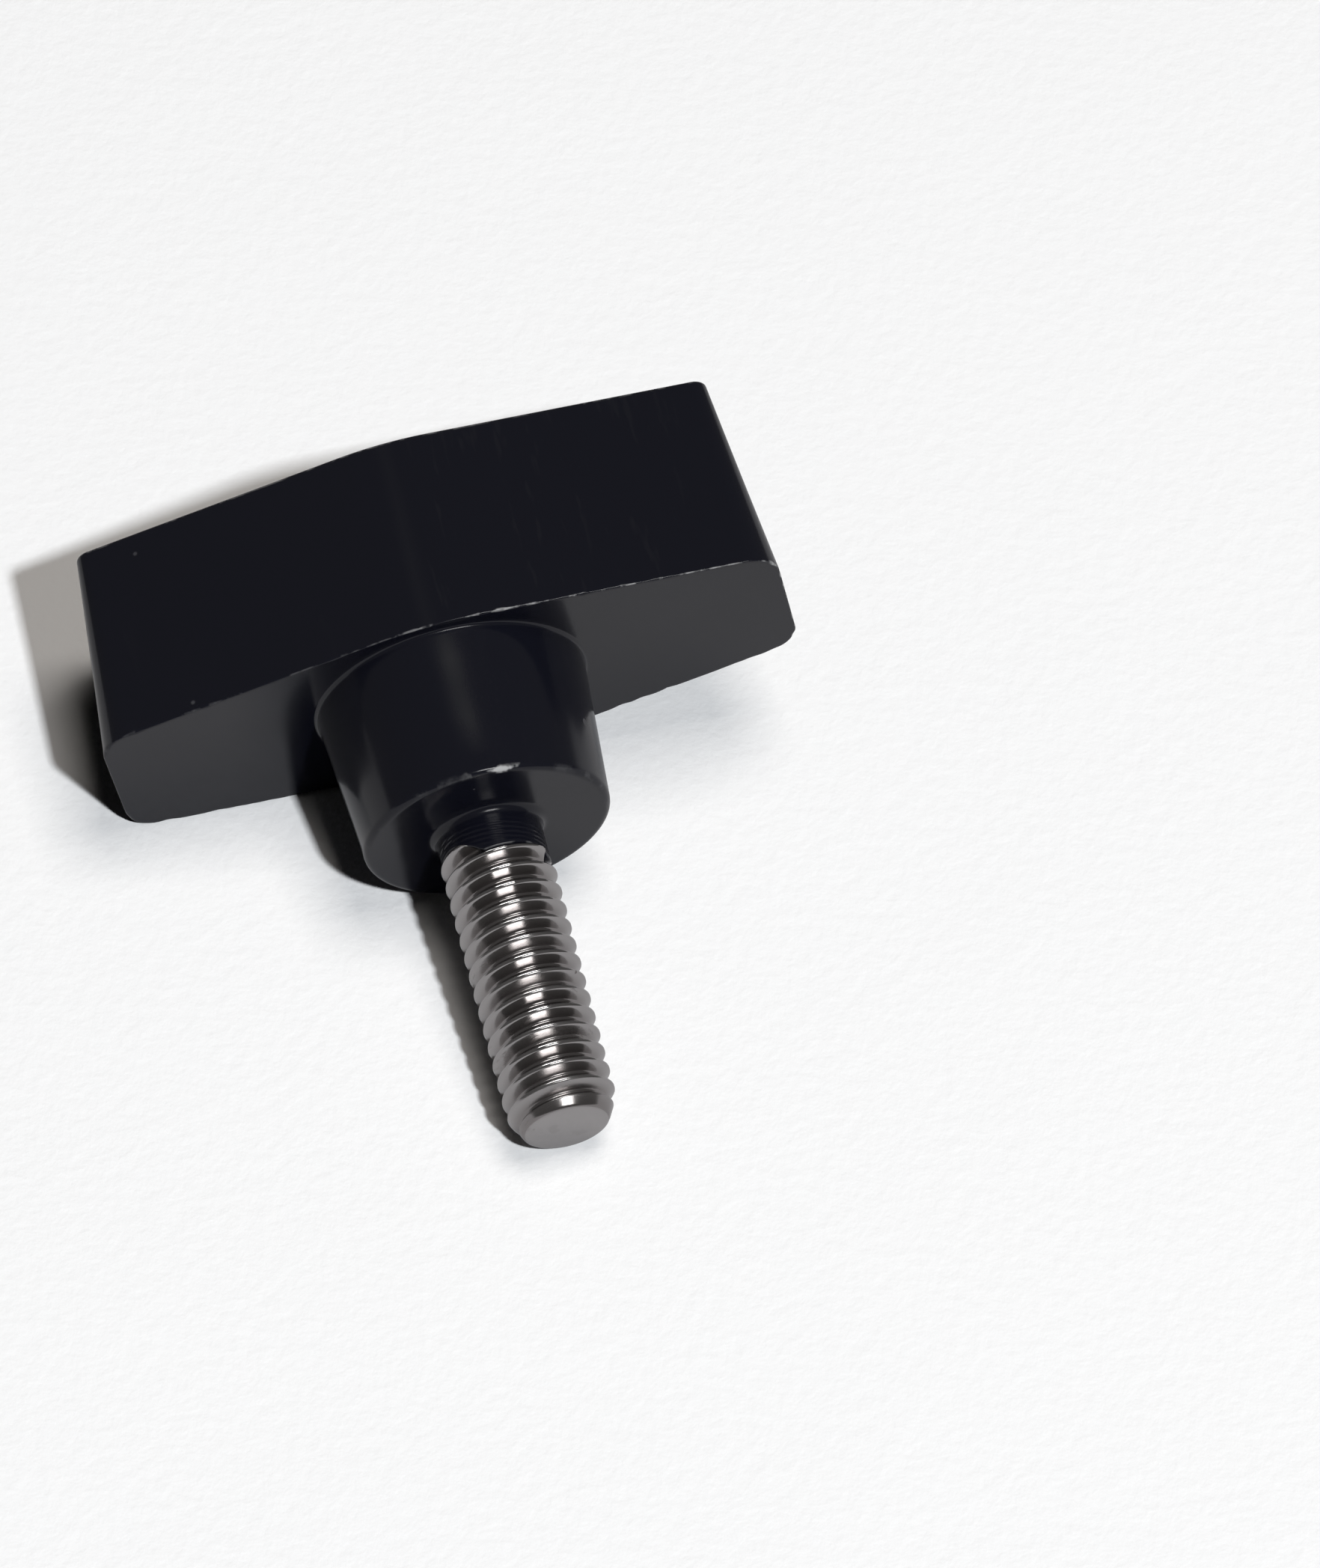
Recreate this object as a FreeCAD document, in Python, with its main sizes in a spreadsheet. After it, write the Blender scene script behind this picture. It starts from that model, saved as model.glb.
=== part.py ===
import FreeCAD, Part
import os
import Sketcher
from FreeCAD import Placement, Rotation, Vector

# T-handle clamping knob: a moulded plastic handle, boss and pilot collar round a steel threaded stud.
# Frame: the stud's axis is Z and the handle is up. The origin is on that axis, in the boss's flat
# end face, and X runs along the handle.

SIZES = {
    "handle_length": 48.6,
    "handle_mid_width": 21.5,
    "handle_end_width": 13.2,
    "handle_height": 15.7,
    "handle_draft": 5.5,
    "end_corner_radius": 2.6,
    "mid_corner_radius": 21.0,
    "handle_edge_radius": 0.3,
    "boss_height": 11.2,
    "boss_end_radius": 8.75,
    "boss_root_radius": 9.55,
    "boss_rim_radius": 0.5,
    "boss_fillet_radius": 0.3,
    "collar_radius": 3.7,
    "collar_height": 3.1,
    "collar_fillet_radius": 0.35,
    "stud_radius": 3.88,
    "stud_reach": 23.5,
    "thread_pitch": 1.4111,
    "thread_root_radius": 3.06,
    "thread_crest_flat": 0.2,
    "thread_start": 0.77,
    "tip_radius": 3.0,
    "tip_chamfer": 1.1,
    "shank_radius": 3.5,
    "head_across_flats": 12.7,
    "head_thickness": 5.2,
    "head_seat": 13.0,
}
# The thread is cut this many pitches past each end of the blank, with flanks of 60 degrees included.
THREAD_OVERRUN = 2.0
FLANK_SLOPE = 0.57735
GROOVE_OVERCUT = 0.25
# The blank is made of equal wedges, so that each stretch of the crest keeps a cylinder face of its own.
SECTORS = 16


def make_sheet(doc):
    """Put every driving size into a spreadsheet under its own alias."""
    sheet = doc.addObject("Spreadsheet::Sheet", "Sizes")
    for row, (name, value) in enumerate(SIZES.items(), start=1):
        sheet.set(f"A{row}", name)
        sheet.set(f"B{row}", str(value))
        sheet.setAlias(f"B{row}", name)
    doc.recompute()
    return sheet


def origin_feature(body, role):
    """Return one of a body's own origin planes or axes."""
    for feature in body.Origin.OriginFeatures:
        if feature.Role == role:
            return feature
    raise RuntimeError(f"{body.Label} has no {role}")


def new_sketch(body, name, role, height=None):
    """Attach a sketch to an origin plane, raised by an expression when one is given."""
    sketch = body.newObject("Sketcher::SketchObject", name)
    sketch.AttachmentSupport = [(origin_feature(body, role), "")]
    sketch.MapMode = "FlatFace"
    if height:
        sketch.setExpression("AttachmentOffset.Base.z", height)
    return sketch


def bind(sketch, constraint, expression):
    """Name a sketch's newest constraint and drive it from the sheet."""
    index = sketch.addConstraint(constraint)
    name = f"size{index}"
    sketch.renameConstraint(index, name)
    sketch.setExpression(f"Constraints.{name}", expression)


def draw_circle(sketch, expression):
    """Draw a circle about the stud's axis with a bound radius."""
    sketch.addGeometry(Part.Circle(Vector(0, 0, 0), Vector(0, 0, 1), 3.0))
    sketch.addConstraint(Sketcher.Constraint("Coincident", 0, 3, -1, 1))
    bind(sketch, Sketcher.Constraint("Radius", 0, 3.0), expression)


def pad(body, name, sketch, length, reverse=False):
    """Pad a sketch by a bound length."""
    feature = body.newObject("PartDesign::Pad", name)
    feature.Profile = sketch
    feature.setExpression("Length", length)
    feature.Reversed = reverse
    return feature


def draw_handle_outline(sketch):
    """Draw the long hexagon: widest in the middle, with two short square ends."""
    half = SIZES["handle_length"] / 2
    end = SIZES["handle_end_width"] / 2
    mid = SIZES["handle_mid_width"] / 2
    corners = [(-half, -end), (0, -mid), (half, -end), (half, end), (0, mid), (-half, end)]
    points = [Vector(x, y, 0) for x, y in corners]
    for start, stop in zip(points, points[1:] + points[:1]):
        sketch.addGeometry(Part.LineSegment(start, stop))
    for line in range(6):
        sketch.addConstraint(Sketcher.Constraint("Coincident", line, 2, (line + 1) % 6, 1))
    for line in range(3):
        sketch.addConstraint(Sketcher.Constraint("Symmetric", line, 1, line + 3, 1, -1, 1))
    sketch.addConstraint(Sketcher.Constraint("Symmetric", 2, 1, 3, 1, -1))
    sketch.addConstraint(Sketcher.Constraint("PointOnObject", 1, 1, -2))
    bind(sketch, Sketcher.Constraint("DistanceX", 0, 1, 2, 1, 2 * half), "Sizes.handle_length")
    bind(sketch, Sketcher.Constraint("DistanceY", 2, 1, 3, 1, 2 * end), "Sizes.handle_end_width")
    bind(sketch, Sketcher.Constraint("DistanceY", 1, 1, 4, 1, 2 * mid), "Sizes.handle_mid_width")


def draw_half_section(sketch, corners):
    """Draw a closed half section in the XZ plane, bound corner by corner to radius and height."""
    points = [Vector(x, z, 0) for x, z, _, _ in corners]
    for start, stop in zip(points, points[1:] + points[:1]):
        sketch.addGeometry(Part.LineSegment(start, stop))
    count = len(corners)
    for line in range(count):
        sketch.addConstraint(Sketcher.Constraint("Coincident", line, 2, (line + 1) % count, 1))
    for line, (x, z, radius, height) in enumerate(corners):
        if radius:
            bind(sketch, Sketcher.Constraint("DistanceX", -1, 1, line, 1, x), radius)
        else:
            sketch.addConstraint(Sketcher.Constraint("PointOnObject", line, 1, -2))
        if height:
            bind(sketch, Sketcher.Constraint("DistanceY", -1, 1, line, 1, z), height)
        else:
            sketch.addConstraint(Sketcher.Constraint("PointOnObject", line, 1, -1))


def edge_names(shape, wanted):
    """Name the edges of a shape that a test picks out."""
    names = [f"Edge{n}" for n, edge in enumerate(shape.Edges, start=1) if wanted(edge)]
    if not names:
        raise RuntimeError("no edge matched")
    return names


def fillet(body, name, base, names, radius):
    """Round the named edges by a bound radius."""
    feature = body.newObject("PartDesign::Fillet", name)
    feature.Base = (base, names)
    feature.setExpression("Radius", radius)
    body.Document.recompute()
    return feature


def on_circle(edge, radius, height):
    """Tell whether an edge is a circle about Z of this radius at this height."""
    curve = edge.Curve
    if not isinstance(curve, Part.Circle):
        return False
    near_axis = Vector(curve.Center.x, curve.Center.y, 0).Length < 1e-4
    return near_axis and abs(curve.Radius - radius) < 1e-3 and abs(curve.Center.z - height) < 1e-3


def upright(part):
    """Tell whether an edge or a face stands up rather than lying flat."""
    return part.BoundBox.ZLength > 1.0


def level(edge, height):
    """Tell whether a whole edge lies at one height."""
    box = edge.BoundBox
    return abs(box.ZMin - height) < 1e-3 and abs(box.ZMax - height) < 1e-3


def level_length(shape, height):
    """Measure how far a shape's edges at one height reach along X."""
    spans = [edge.BoundBox for edge in shape.Edges if level(edge, height)]
    return max(box.XMax for box in spans) - min(box.XMin for box in spans)


def make_knob(doc):
    """Model the moulded handle with its boss, collar and the seat for the stud's hidden end."""
    body = doc.addObject("PartDesign::Body", "knob_body")
    outline = new_sketch(body, "handle_outline", "XY_Plane", "Sizes.boss_height")
    draw_handle_outline(outline)
    handle = pad(body, "handle", outline, "Sizes.handle_height")
    doc.recompute()

    bottom = SIZES["boss_height"]
    top = bottom + SIZES["handle_height"]
    at_ends = edge_names(handle.Shape, lambda e: upright(e) and abs(e.CenterOfMass.x) > 1.0)
    ends = fillet(body, "end_corners", handle, at_ends, "Sizes.end_corner_radius")
    at_mid = edge_names(ends.Shape, lambda e: upright(e) and abs(e.CenterOfMass.x) < 1e-3)
    mid = fillet(body, "mid_corners", ends, at_mid, "Sizes.mid_corner_radius")

    faces = [(f"Face{n}", face) for n, face in enumerate(mid.Shape.Faces, start=1)]
    walls = [name for name, face in faces if upright(face)]
    floor = [name for name, face in faces if abs(face.BoundBox.ZMax - bottom) < 1e-3]
    draft = body.newObject("PartDesign::Draft", "mould_draft")
    draft.Base = (mid, walls)
    draft.NeutralPlane = (mid, floor)
    draft.setExpression("Angle", "Sizes.handle_draft")
    doc.recompute()
    if level_length(draft.Shape, top) > level_length(draft.Shape, bottom):
        draft.Reversed = True
        doc.recompute()

    rims = edge_names(draft.Shape, lambda e: level(e, bottom) or level(e, top))
    rounded = fillet(body, "handle_edges", draft, rims, "Sizes.handle_edge_radius")

    section = new_sketch(body, "boss_section", "XZ_Plane")
    root = SIZES["boss_height"] + 1.0
    corners = [
        (SIZES["boss_end_radius"], 0, "Sizes.boss_end_radius", None),
        (SIZES["boss_root_radius"], bottom, "Sizes.boss_root_radius", "Sizes.boss_height"),
        (SIZES["boss_root_radius"], root, "Sizes.boss_root_radius", "Sizes.boss_height + 1"),
        (0, root, None, "Sizes.boss_height + 1"),
        (0, 0, None, None),
    ]
    draw_half_section(section, corners)
    boss = body.newObject("PartDesign::Revolution", "boss")
    boss.Profile = section
    boss.ReferenceAxis = (section, ["V_Axis"])
    boss.Angle = 360
    doc.recompute()

    ring = new_sketch(body, "collar_outline", "XY_Plane")
    draw_circle(ring, "Sizes.collar_radius")
    collar = pad(body, "collar", ring, "Sizes.collar_height", reverse=True)
    doc.recompute()

    root_edge = edge_names(collar.Shape, lambda e: on_circle(e, SIZES["boss_root_radius"], bottom))
    rooted = fillet(body, "boss_fillet", collar, root_edge, "Sizes.boss_fillet_radius")
    rim_edge = edge_names(rooted.Shape, lambda e: on_circle(e, SIZES["boss_end_radius"], 0))
    rimmed = fillet(body, "boss_rim", rooted, rim_edge, "Sizes.boss_rim_radius")
    foot_edge = edge_names(rimmed.Shape, lambda e: on_circle(e, SIZES["collar_radius"], 0))
    footed = fillet(body, "collar_fillet", rimmed, foot_edge, "Sizes.collar_fillet_radius")

    shank = new_sketch(body, "shank_seat_outline", "XY_Plane", "-Sizes.collar_height")
    draw_circle(shank, "Sizes.shank_radius")
    bore = body.newObject("PartDesign::Pocket", "shank_seat")
    bore.Profile = shank
    bore.setExpression("Length", "Sizes.collar_height + Sizes.head_seat")
    bore.Reversed = True
    doc.recompute()
    seat = new_sketch(body, "head_seat_outline", "XY_Plane", "Sizes.head_seat")
    draw_hexagon(seat)
    pocket = body.newObject("PartDesign::Pocket", "head_seat")
    pocket.Profile = seat
    pocket.setExpression("Length", "Sizes.head_thickness")
    pocket.Reversed = True
    doc.recompute()
    if pocket.Shape.Volume >= bore.Shape.Volume or bore.Shape.Volume >= footed.Shape.Volume:
        raise RuntimeError("the stud's seat was not cut")
    if rounded.Shape.Volume >= draft.Shape.Volume:
        raise RuntimeError("the handle's edges were not rounded")
    return body


def draw_hexagon(sketch):
    """Draw a regular hexagon about the axis, bound by its distance across flats."""
    across = SIZES["head_across_flats"]
    radius = across / 3**0.5
    turn = Rotation(Vector(0, 0, 1), 60)
    point = Vector(radius, 0, 0)
    for _ in range(6):
        following = turn.multVec(point)
        sketch.addGeometry(Part.LineSegment(point, following))
        point = following
    guide = sketch.addGeometry(Part.Circle(Vector(0, 0, 0), Vector(0, 0, 1), radius), True)
    for line in range(6):
        sketch.addConstraint(Sketcher.Constraint("Coincident", line, 2, (line + 1) % 6, 1))
        sketch.addConstraint(Sketcher.Constraint("PointOnObject", line, 1, guide))
    for line in range(1, 6):
        sketch.addConstraint(Sketcher.Constraint("Equal", 0, line))
    sketch.addConstraint(Sketcher.Constraint("Coincident", guide, 3, -1, 1))
    sketch.addConstraint(Sketcher.Constraint("PointOnObject", 0, 1, -1))
    bind(sketch, Sketcher.Constraint("Radius", guide, radius), "Sizes.head_across_flats / sqrt(3)")


def make_stud(doc):
    """Model the steel stud: a rolled thread outside, a plain shank and a hexagon head held in the plastic."""
    body = doc.addObject("PartDesign::Body", "threaded_stud")
    start = SIZES["collar_height"]
    reach = SIZES["stud_reach"]
    crest = SIZES["stud_radius"]
    section = new_sketch(body, "blank_section", "XZ_Plane")
    corners = [
        (0, -reach, None, "-Sizes.stud_reach"),
        (SIZES["tip_radius"], -reach, "Sizes.tip_radius", "-Sizes.stud_reach"),
        (crest, SIZES["tip_chamfer"] - reach, "Sizes.stud_radius", "Sizes.tip_chamfer - Sizes.stud_reach"),
        (crest, -start, "Sizes.stud_radius", "-Sizes.collar_height"),
        (0, -start, None, "-Sizes.collar_height"),
    ]
    draw_half_section(section, corners)
    wedge = body.newObject("PartDesign::Revolution", "blank_wedge")
    wedge.Profile = section
    wedge.ReferenceAxis = (section, ["V_Axis"])
    wedge.Angle = 360 / SECTORS
    wedge.Refine = False
    doc.recompute()
    blank = body.newObject("PartDesign::PolarPattern", "blank")
    blank.Originals = [wedge]
    blank.Axis = (section, ["V_Axis"])
    blank.Angle = 360
    blank.Occurrences = SECTORS
    blank.Refine = False
    body.Tip = blank
    doc.recompute()

    groove = new_sketch(body, "groove_section", "XZ_Plane")
    draw_groove(groove)
    thread = body.newObject("PartDesign::SubtractiveHelix", "thread")
    thread.Profile = groove
    thread.ReferenceAxis = (groove, ["V_Axis"])
    thread.Mode = "pitch-height-angle"
    thread.setExpression("Pitch", "Sizes.thread_pitch")
    overrun = f"{2 * THREAD_OVERRUN} * Sizes.thread_pitch"
    thread.setExpression("Height", f"Sizes.stud_reach - Sizes.collar_height + {overrun}")
    thread.LeftHanded = False
    thread.Refine = False
    thread.Reversed = True
    doc.recompute()

    rod = new_sketch(body, "shank_outline", "XY_Plane", "-Sizes.collar_height")
    draw_circle(rod, "Sizes.shank_radius")
    shank = pad(body, "shank", rod, "Sizes.collar_height + Sizes.head_seat")
    shank.Refine = False
    doc.recompute()
    flats = new_sketch(body, "head_outline", "XY_Plane", "Sizes.head_seat")
    draw_hexagon(flats)
    head = pad(body, "head", flats, "Sizes.head_thickness")
    head.Refine = False
    doc.recompute()
    if thread.Shape.Volume > 0.93 * blank.Shape.Volume or head.Shape.Volume <= shank.Shape.Volume:
        raise RuntimeError("the thread or the head is missing")
    return body


def draw_groove(sketch):
    """Draw the V between two crests, running a little past the crest so that it cuts clean."""
    pitch = SIZES["thread_pitch"]
    root = SIZES["thread_root_radius"]
    outer = SIZES["stud_radius"] + GROOVE_OVERCUT
    mouth = (pitch - SIZES["thread_crest_flat"]) / 2
    floor = mouth - (SIZES["stud_radius"] - root) * FLANK_SLOPE
    wide = mouth + GROOVE_OVERCUT * FLANK_SLOPE
    middle = THREAD_OVERRUN * pitch - SIZES["collar_height"] + SIZES["thread_start"]
    centre = f"({THREAD_OVERRUN} * Sizes.thread_pitch - Sizes.collar_height + Sizes.thread_start)"
    half = "((Sizes.thread_pitch - Sizes.thread_crest_flat) / 2)"
    deep = f"({half} - (Sizes.stud_radius - Sizes.thread_root_radius) * {FLANK_SLOPE})"
    far = f"({half} + {GROOVE_OVERCUT} * {FLANK_SLOPE})"
    at_root = "Sizes.thread_root_radius"
    outside = f"Sizes.stud_radius + {GROOVE_OVERCUT}"
    corners = [
        (root, middle - floor, at_root, f"{centre} - {deep}"),
        (outer, middle - wide, outside, f"{centre} - {far}"),
        (outer, middle + wide, outside, f"{centre} + {far}"),
        (root, middle + floor, at_root, f"{centre} + {deep}"),
    ]
    draw_half_section(sketch, corners)


def main():
    """Build the document, check every object and write one file for each piece."""
    doc = FreeCAD.newDocument("t_handle_knob")
    make_sheet(doc)
    pieces = [make_knob(doc), make_stud(doc)]
    doc.recompute()
    for item in doc.Objects:
        if "Invalid" in item.State or "Error" in item.State:
            raise RuntimeError(f"{item.Label}: {item.State}")
    os.makedirs("parts", exist_ok=True)
    for piece in pieces:
        piece.Placement = Placement()
        shape = piece.Shape
        if shape.isNull() or not shape.isValid() or len(shape.Solids) != 1:
            raise RuntimeError(f"{piece.Label} is not one valid solid")
        print(piece.Label, f"{shape.Volume:.1f} mm3")
        shape.exportStep(f"parts/{piece.Label}.step")


main()
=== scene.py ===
"""Looks of a T-handle clamping knob: a moulded black handle on a rolled steel stud.

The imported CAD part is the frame. Both of its nodes are replaced by denser meshes: the
moulding is one ring-lofted skin, the stud is a grid that follows its thread. The sizes are the
CAD's, apart from the collar's foot and end and the tip's chamfer, which are fuller here.
Sizes are in millimetres until a mesh is written, in the frame's own axes: Z is the stud's
axis, the handle is up and X runs along it.
"""

from __future__ import annotations

import logging
import math
from dataclasses import dataclass, field
from enum import Enum
from typing import Any

import bmesh
import bpy
import numpy as np
from mathutils import Matrix, Vector

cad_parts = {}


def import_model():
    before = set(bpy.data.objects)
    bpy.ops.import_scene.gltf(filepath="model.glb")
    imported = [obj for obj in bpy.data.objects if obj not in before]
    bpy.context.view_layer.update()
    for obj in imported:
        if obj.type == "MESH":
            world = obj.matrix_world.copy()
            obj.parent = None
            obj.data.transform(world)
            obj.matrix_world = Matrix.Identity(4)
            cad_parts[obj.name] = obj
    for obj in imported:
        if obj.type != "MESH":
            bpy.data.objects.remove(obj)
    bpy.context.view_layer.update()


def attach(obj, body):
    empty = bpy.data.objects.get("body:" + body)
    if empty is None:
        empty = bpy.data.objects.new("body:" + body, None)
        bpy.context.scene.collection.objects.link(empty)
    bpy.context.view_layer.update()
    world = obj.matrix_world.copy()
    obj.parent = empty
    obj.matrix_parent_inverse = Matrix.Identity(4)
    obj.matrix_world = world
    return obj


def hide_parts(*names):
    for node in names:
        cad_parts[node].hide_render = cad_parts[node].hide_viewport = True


LOG = logging.getLogger("knob")
MM = 0.001
MERGE = 2e-7
DEGENERATE = 1e-7
Pair = tuple[np.ndarray, np.ndarray]
Colour = tuple[float, float, float]
Level = float | np.ndarray
Faces = list[tuple[int, ...]]
WHITE: Colour = (1.0, 1.0, 1.0)
WARM: Colour = (1.0, 0.95, 0.90)
COOL: Colour = (0.97, 1.0, 1.035)


class Shows(Enum):
    """What a lamp does: it lights surfaces, or it is only seen in glossy ones."""

    ON_SURFACES = 0
    IN_REFLECTIONS = 1


class Grade(Enum):
    """How strongly a surface's fine relief shows."""

    SATIN = 0.35
    MOULDED = 0.6
    ROLLED = 1.0


# ---------------------------------------------------------------- node wiring


@dataclass
class Board:
    """A node tree that is being wired."""

    tree: bpy.types.NodeTree

    def link(self, source: bpy.types.NodeSocket, target: bpy.types.NodeSocket) -> None:
        """Link an output to an input."""
        self.tree.links.new(source, target)

    def add(self, kind: str, values: dict[Any, Any] | None = None, **settings: Any) -> bpy.types.Node:
        """Add a node.

        Args:
            kind: Blender's name for the node.
            values: What each input takes: an output socket to link, or a constant.
            settings: Attributes to set on the node first.

        Returns:
            The new node.
        """
        node = self.tree.nodes.new(kind)
        for name, value in settings.items():
            setattr(node, name, value)
        for key, value in (values or {}).items():
            if isinstance(value, bpy.types.NodeSocket):
                self.link(value, node.inputs[key])
            else:
                node.inputs[key].default_value = value
        return node

    def math(self, operation: str, *values: Any, clamp: bool = False) -> bpy.types.NodeSocket:
        """Add a math node and return its result."""
        numbers = dict(enumerate(values))
        return self.add("ShaderNodeMath", numbers, operation=operation, use_clamp=clamp).outputs[0]

    def remap(
        self, value: Any, span: tuple[float, float], onto: tuple[float, float] = (0.0, 1.0)
    ) -> bpy.types.NodeSocket:
        """Map a span of values smoothly onto another one and return the result."""
        numbers = {0: value, 1: span[0], 2: span[1], 3: onto[0], 4: onto[1]}
        node = self.add("ShaderNodeMapRange", numbers, interpolation_type="SMOOTHSTEP")
        return node.outputs[0]

    def mix(self, factor: Any, first: Any, second: Any) -> bpy.types.NodeSocket:
        """Mix two colours and return the result."""
        node = self.add("ShaderNodeMix", {0: factor, 6: first, 7: second}, data_type="RGBA")
        return node.outputs[2]

    def stretch(self, vector: Any, scale: tuple[float, float, float]) -> bpy.types.NodeSocket:
        """Scale a vector unevenly and return the result."""
        node = self.add("ShaderNodeVectorMath", {0: vector, 1: scale}, operation="MULTIPLY")
        return node.outputs[0]

    def noise(
        self, vector: Any, scale: Any, detail: float = 2.0, roughness: float = 0.5
    ) -> bpy.types.NodeSocket:
        """Add a noise texture and return its value."""
        values = {"Vector": vector, "Scale": scale, "Detail": detail, "Roughness": roughness}
        return self.add("ShaderNodeTexNoise", values).outputs["Fac"]


def start_group(name: str, inputs: dict[str, Any], outputs: tuple[str, ...]) -> tuple[Board, Any, Any]:
    """Start a shader node group.

    Args:
        name: The group's name.
        inputs: Each input's default: a number, or None for a vector.
        outputs: The names of the float outputs.

    Returns:
        The board, the group's input node and its output node.
    """
    tree = bpy.data.node_groups.new(name, "ShaderNodeTree")
    for label, value in inputs.items():
        kind = "NodeSocketVector" if value is None else "NodeSocketFloat"
        socket = tree.interface.new_socket(label, in_out="INPUT", socket_type=kind)
        if value is not None:
            socket.default_value = value
    for label in outputs:
        tree.interface.new_socket(label, in_out="OUTPUT", socket_type="NodeSocketFloat")
    board = Board(tree)
    return board, board.add("NodeGroupInput"), board.add("NodeGroupOutput")


@dataclass
class Effects:
    """The surface effects that the finishes use, each as one node group.

    A slow wave's scale is a share of the grain's. A mask's steepness sets how hard its borders
    are. An edge marked above whole_from is filled in without gaps: only the boss rim's painted
    highlight is marked that high.
    """

    slow_wave: float = 0.06
    patch_scale: float = 160.0
    patch_span: tuple[float, float] = (0.48, 0.62)
    scuff_steepness: float = 14.0
    speck_spread: float = 0.22
    speck_least: float = 0.05
    speck_steepness: float = 18.0
    whole_from: float = 0.62
    whole_gain: float = 0.55
    wear_and_highlight_steepness: float = 8.0
    groups: dict[str, bpy.types.NodeTree] = field(default_factory=dict)

    def build(self) -> None:
        """Build every group once."""
        self.groups["grain"] = self._grain()
        self.groups["scuffs"] = self._scuffs()
        self.groups["dust"] = self._dust()
        self.groups["wear_and_highlight"] = self._wear_and_highlight()

    def place(self, board: Board, name: str, values: dict[str, Any]) -> bpy.types.Node:
        """Place a group in a material with the material's own values."""
        return board.add("ShaderNodeGroup", values, node_tree=self.groups[name])

    def _grain(self) -> bpy.types.NodeTree:
        """Build a low relief: long waves under a fine grain."""
        inputs = {"Vector": None, "Scale": 1000.0, "Waves": 0.3}
        board, source, result = start_group("fine_grain", inputs, ("Height", "Tone"))
        fine = board.noise(source.outputs["Vector"], source.outputs["Scale"], 3.0, 0.6)
        slow = board.math("MULTIPLY", source.outputs["Scale"], self.slow_wave)
        waves = board.noise(source.outputs["Vector"], slow, 1.0, 0.4)
        risen = board.math("MULTIPLY", waves, source.outputs["Waves"])
        board.link(board.math("ADD", fine, risen), result.inputs["Height"])
        board.link(waves, result.inputs["Tone"])
        return board.tree

    def _scuffs(self) -> bpy.types.NodeTree:
        """Build a mask of short fine scratches along a stretched direction."""
        inputs = {"Vector": None, "Scale": 300.0, "Cut": 0.64}
        board, source, result = start_group("fine_scuffs", inputs, ("Mask",))
        bent = board.noise(source.outputs["Vector"], self.patch_scale, 1.0)
        patches = board.remap(bent, self.patch_span)
        lines = board.noise(source.outputs["Vector"], source.outputs["Scale"], 2.0, 0.7)
        over = board.math("SUBTRACT", lines, source.outputs["Cut"])
        sharp = board.math("MULTIPLY", over, self.scuff_steepness, clamp=True)
        board.link(board.math("MULTIPLY", sharp, patches), result.inputs["Mask"])
        return board.tree

    def _dust(self) -> bpy.types.NodeTree:
        """Build a mask of scattered specks."""
        inputs = {"Vector": None, "Scale": 500.0, "Share": 0.06}
        board, source, result = start_group("dust_specks", inputs, ("Mask",))
        cells = board.add(
            "ShaderNodeTexVoronoi",
            {"Vector": source.outputs["Vector"], "Scale": source.outputs["Scale"]},
        )
        chosen = board.add("ShaderNodeSeparateColor", {0: cells.outputs["Color"]})
        kept = board.math("LESS_THAN", chosen.outputs[0], source.outputs["Share"])
        size = board.math("MULTIPLY_ADD", chosen.outputs[1], self.speck_spread, self.speck_least)
        inside = board.math("SUBTRACT", size, cells.outputs["Distance"])
        dot = board.math("MULTIPLY", inside, self.speck_steepness, clamp=True)
        board.link(board.math("MULTIPLY", dot, kept), result.inputs["Mask"])
        return board.tree

    def _wear_and_highlight(self) -> bpy.types.NodeTree:
        """Build a mask of abraded spots and painted highlights along marked edges."""
        inputs = {"Vector": None, "Edge": 0.0, "Scale": 700.0, "Cut": 0.5}
        board, source, result = start_group("edge_wear_and_highlight", inputs, ("Mask",))
        spots = board.noise(source.outputs["Vector"], source.outputs["Scale"], 3.0, 0.6)
        over = board.math("SUBTRACT", spots, source.outputs["Cut"])
        past = board.math("SUBTRACT", source.outputs["Edge"], self.whole_from)
        whole = board.math("MAXIMUM", past, 0.0)
        spread = board.math("MULTIPLY_ADD", whole, self.whole_gain, over)
        sharp = board.math("MULTIPLY", spread, self.wear_and_highlight_steepness, clamp=True)
        board.link(board.math("MULTIPLY", sharp, source.outputs["Edge"]), result.inputs["Mask"])
        return board.tree


# ---------------------------------------------------------------- finishes


@dataclass
class Blank:
    """A new material whose shader is wired to its output."""

    material: bpy.types.Material
    board: Board
    shader: bpy.types.Node
    result: bpy.types.Node
    place: bpy.types.NodeSocket

    @classmethod
    def start(cls, name: str) -> Blank:
        """Start a material of this name, with the object's own coordinates as its place."""
        material = bpy.data.materials.new(name)
        material.use_nodes = True
        material.node_tree.nodes.clear()
        board = Board(material.node_tree)
        result = board.add("ShaderNodeOutputMaterial")
        shader = board.add("ShaderNodeBsdfPrincipled")
        board.link(shader.outputs[0], result.inputs["Surface"])
        place = board.add("ShaderNodeTexCoord").outputs["Object"]
        return cls(material, board, shader, result, place)

    def mark(self, name: str) -> bpy.types.NodeSocket:
        """Read a value that the mesh's vertices carry."""
        return self.board.add("ShaderNodeAttribute", attribute_name=name).outputs["Fac"]

    def feed(self, socket: str, value: bpy.types.NodeSocket) -> None:
        """Link a changing value to one of the shader's inputs."""
        self.board.link(value, self.shader.inputs[socket])

    def relieve(self, strength: float, depth: float, height: bpy.types.NodeSocket) -> None:
        """Give the surface a relief of this depth in metres."""
        values = {"Strength": strength, "Distance": depth, "Height": height}
        self.feed("Normal", self.board.add("ShaderNodeBump", values).outputs[0])


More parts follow.
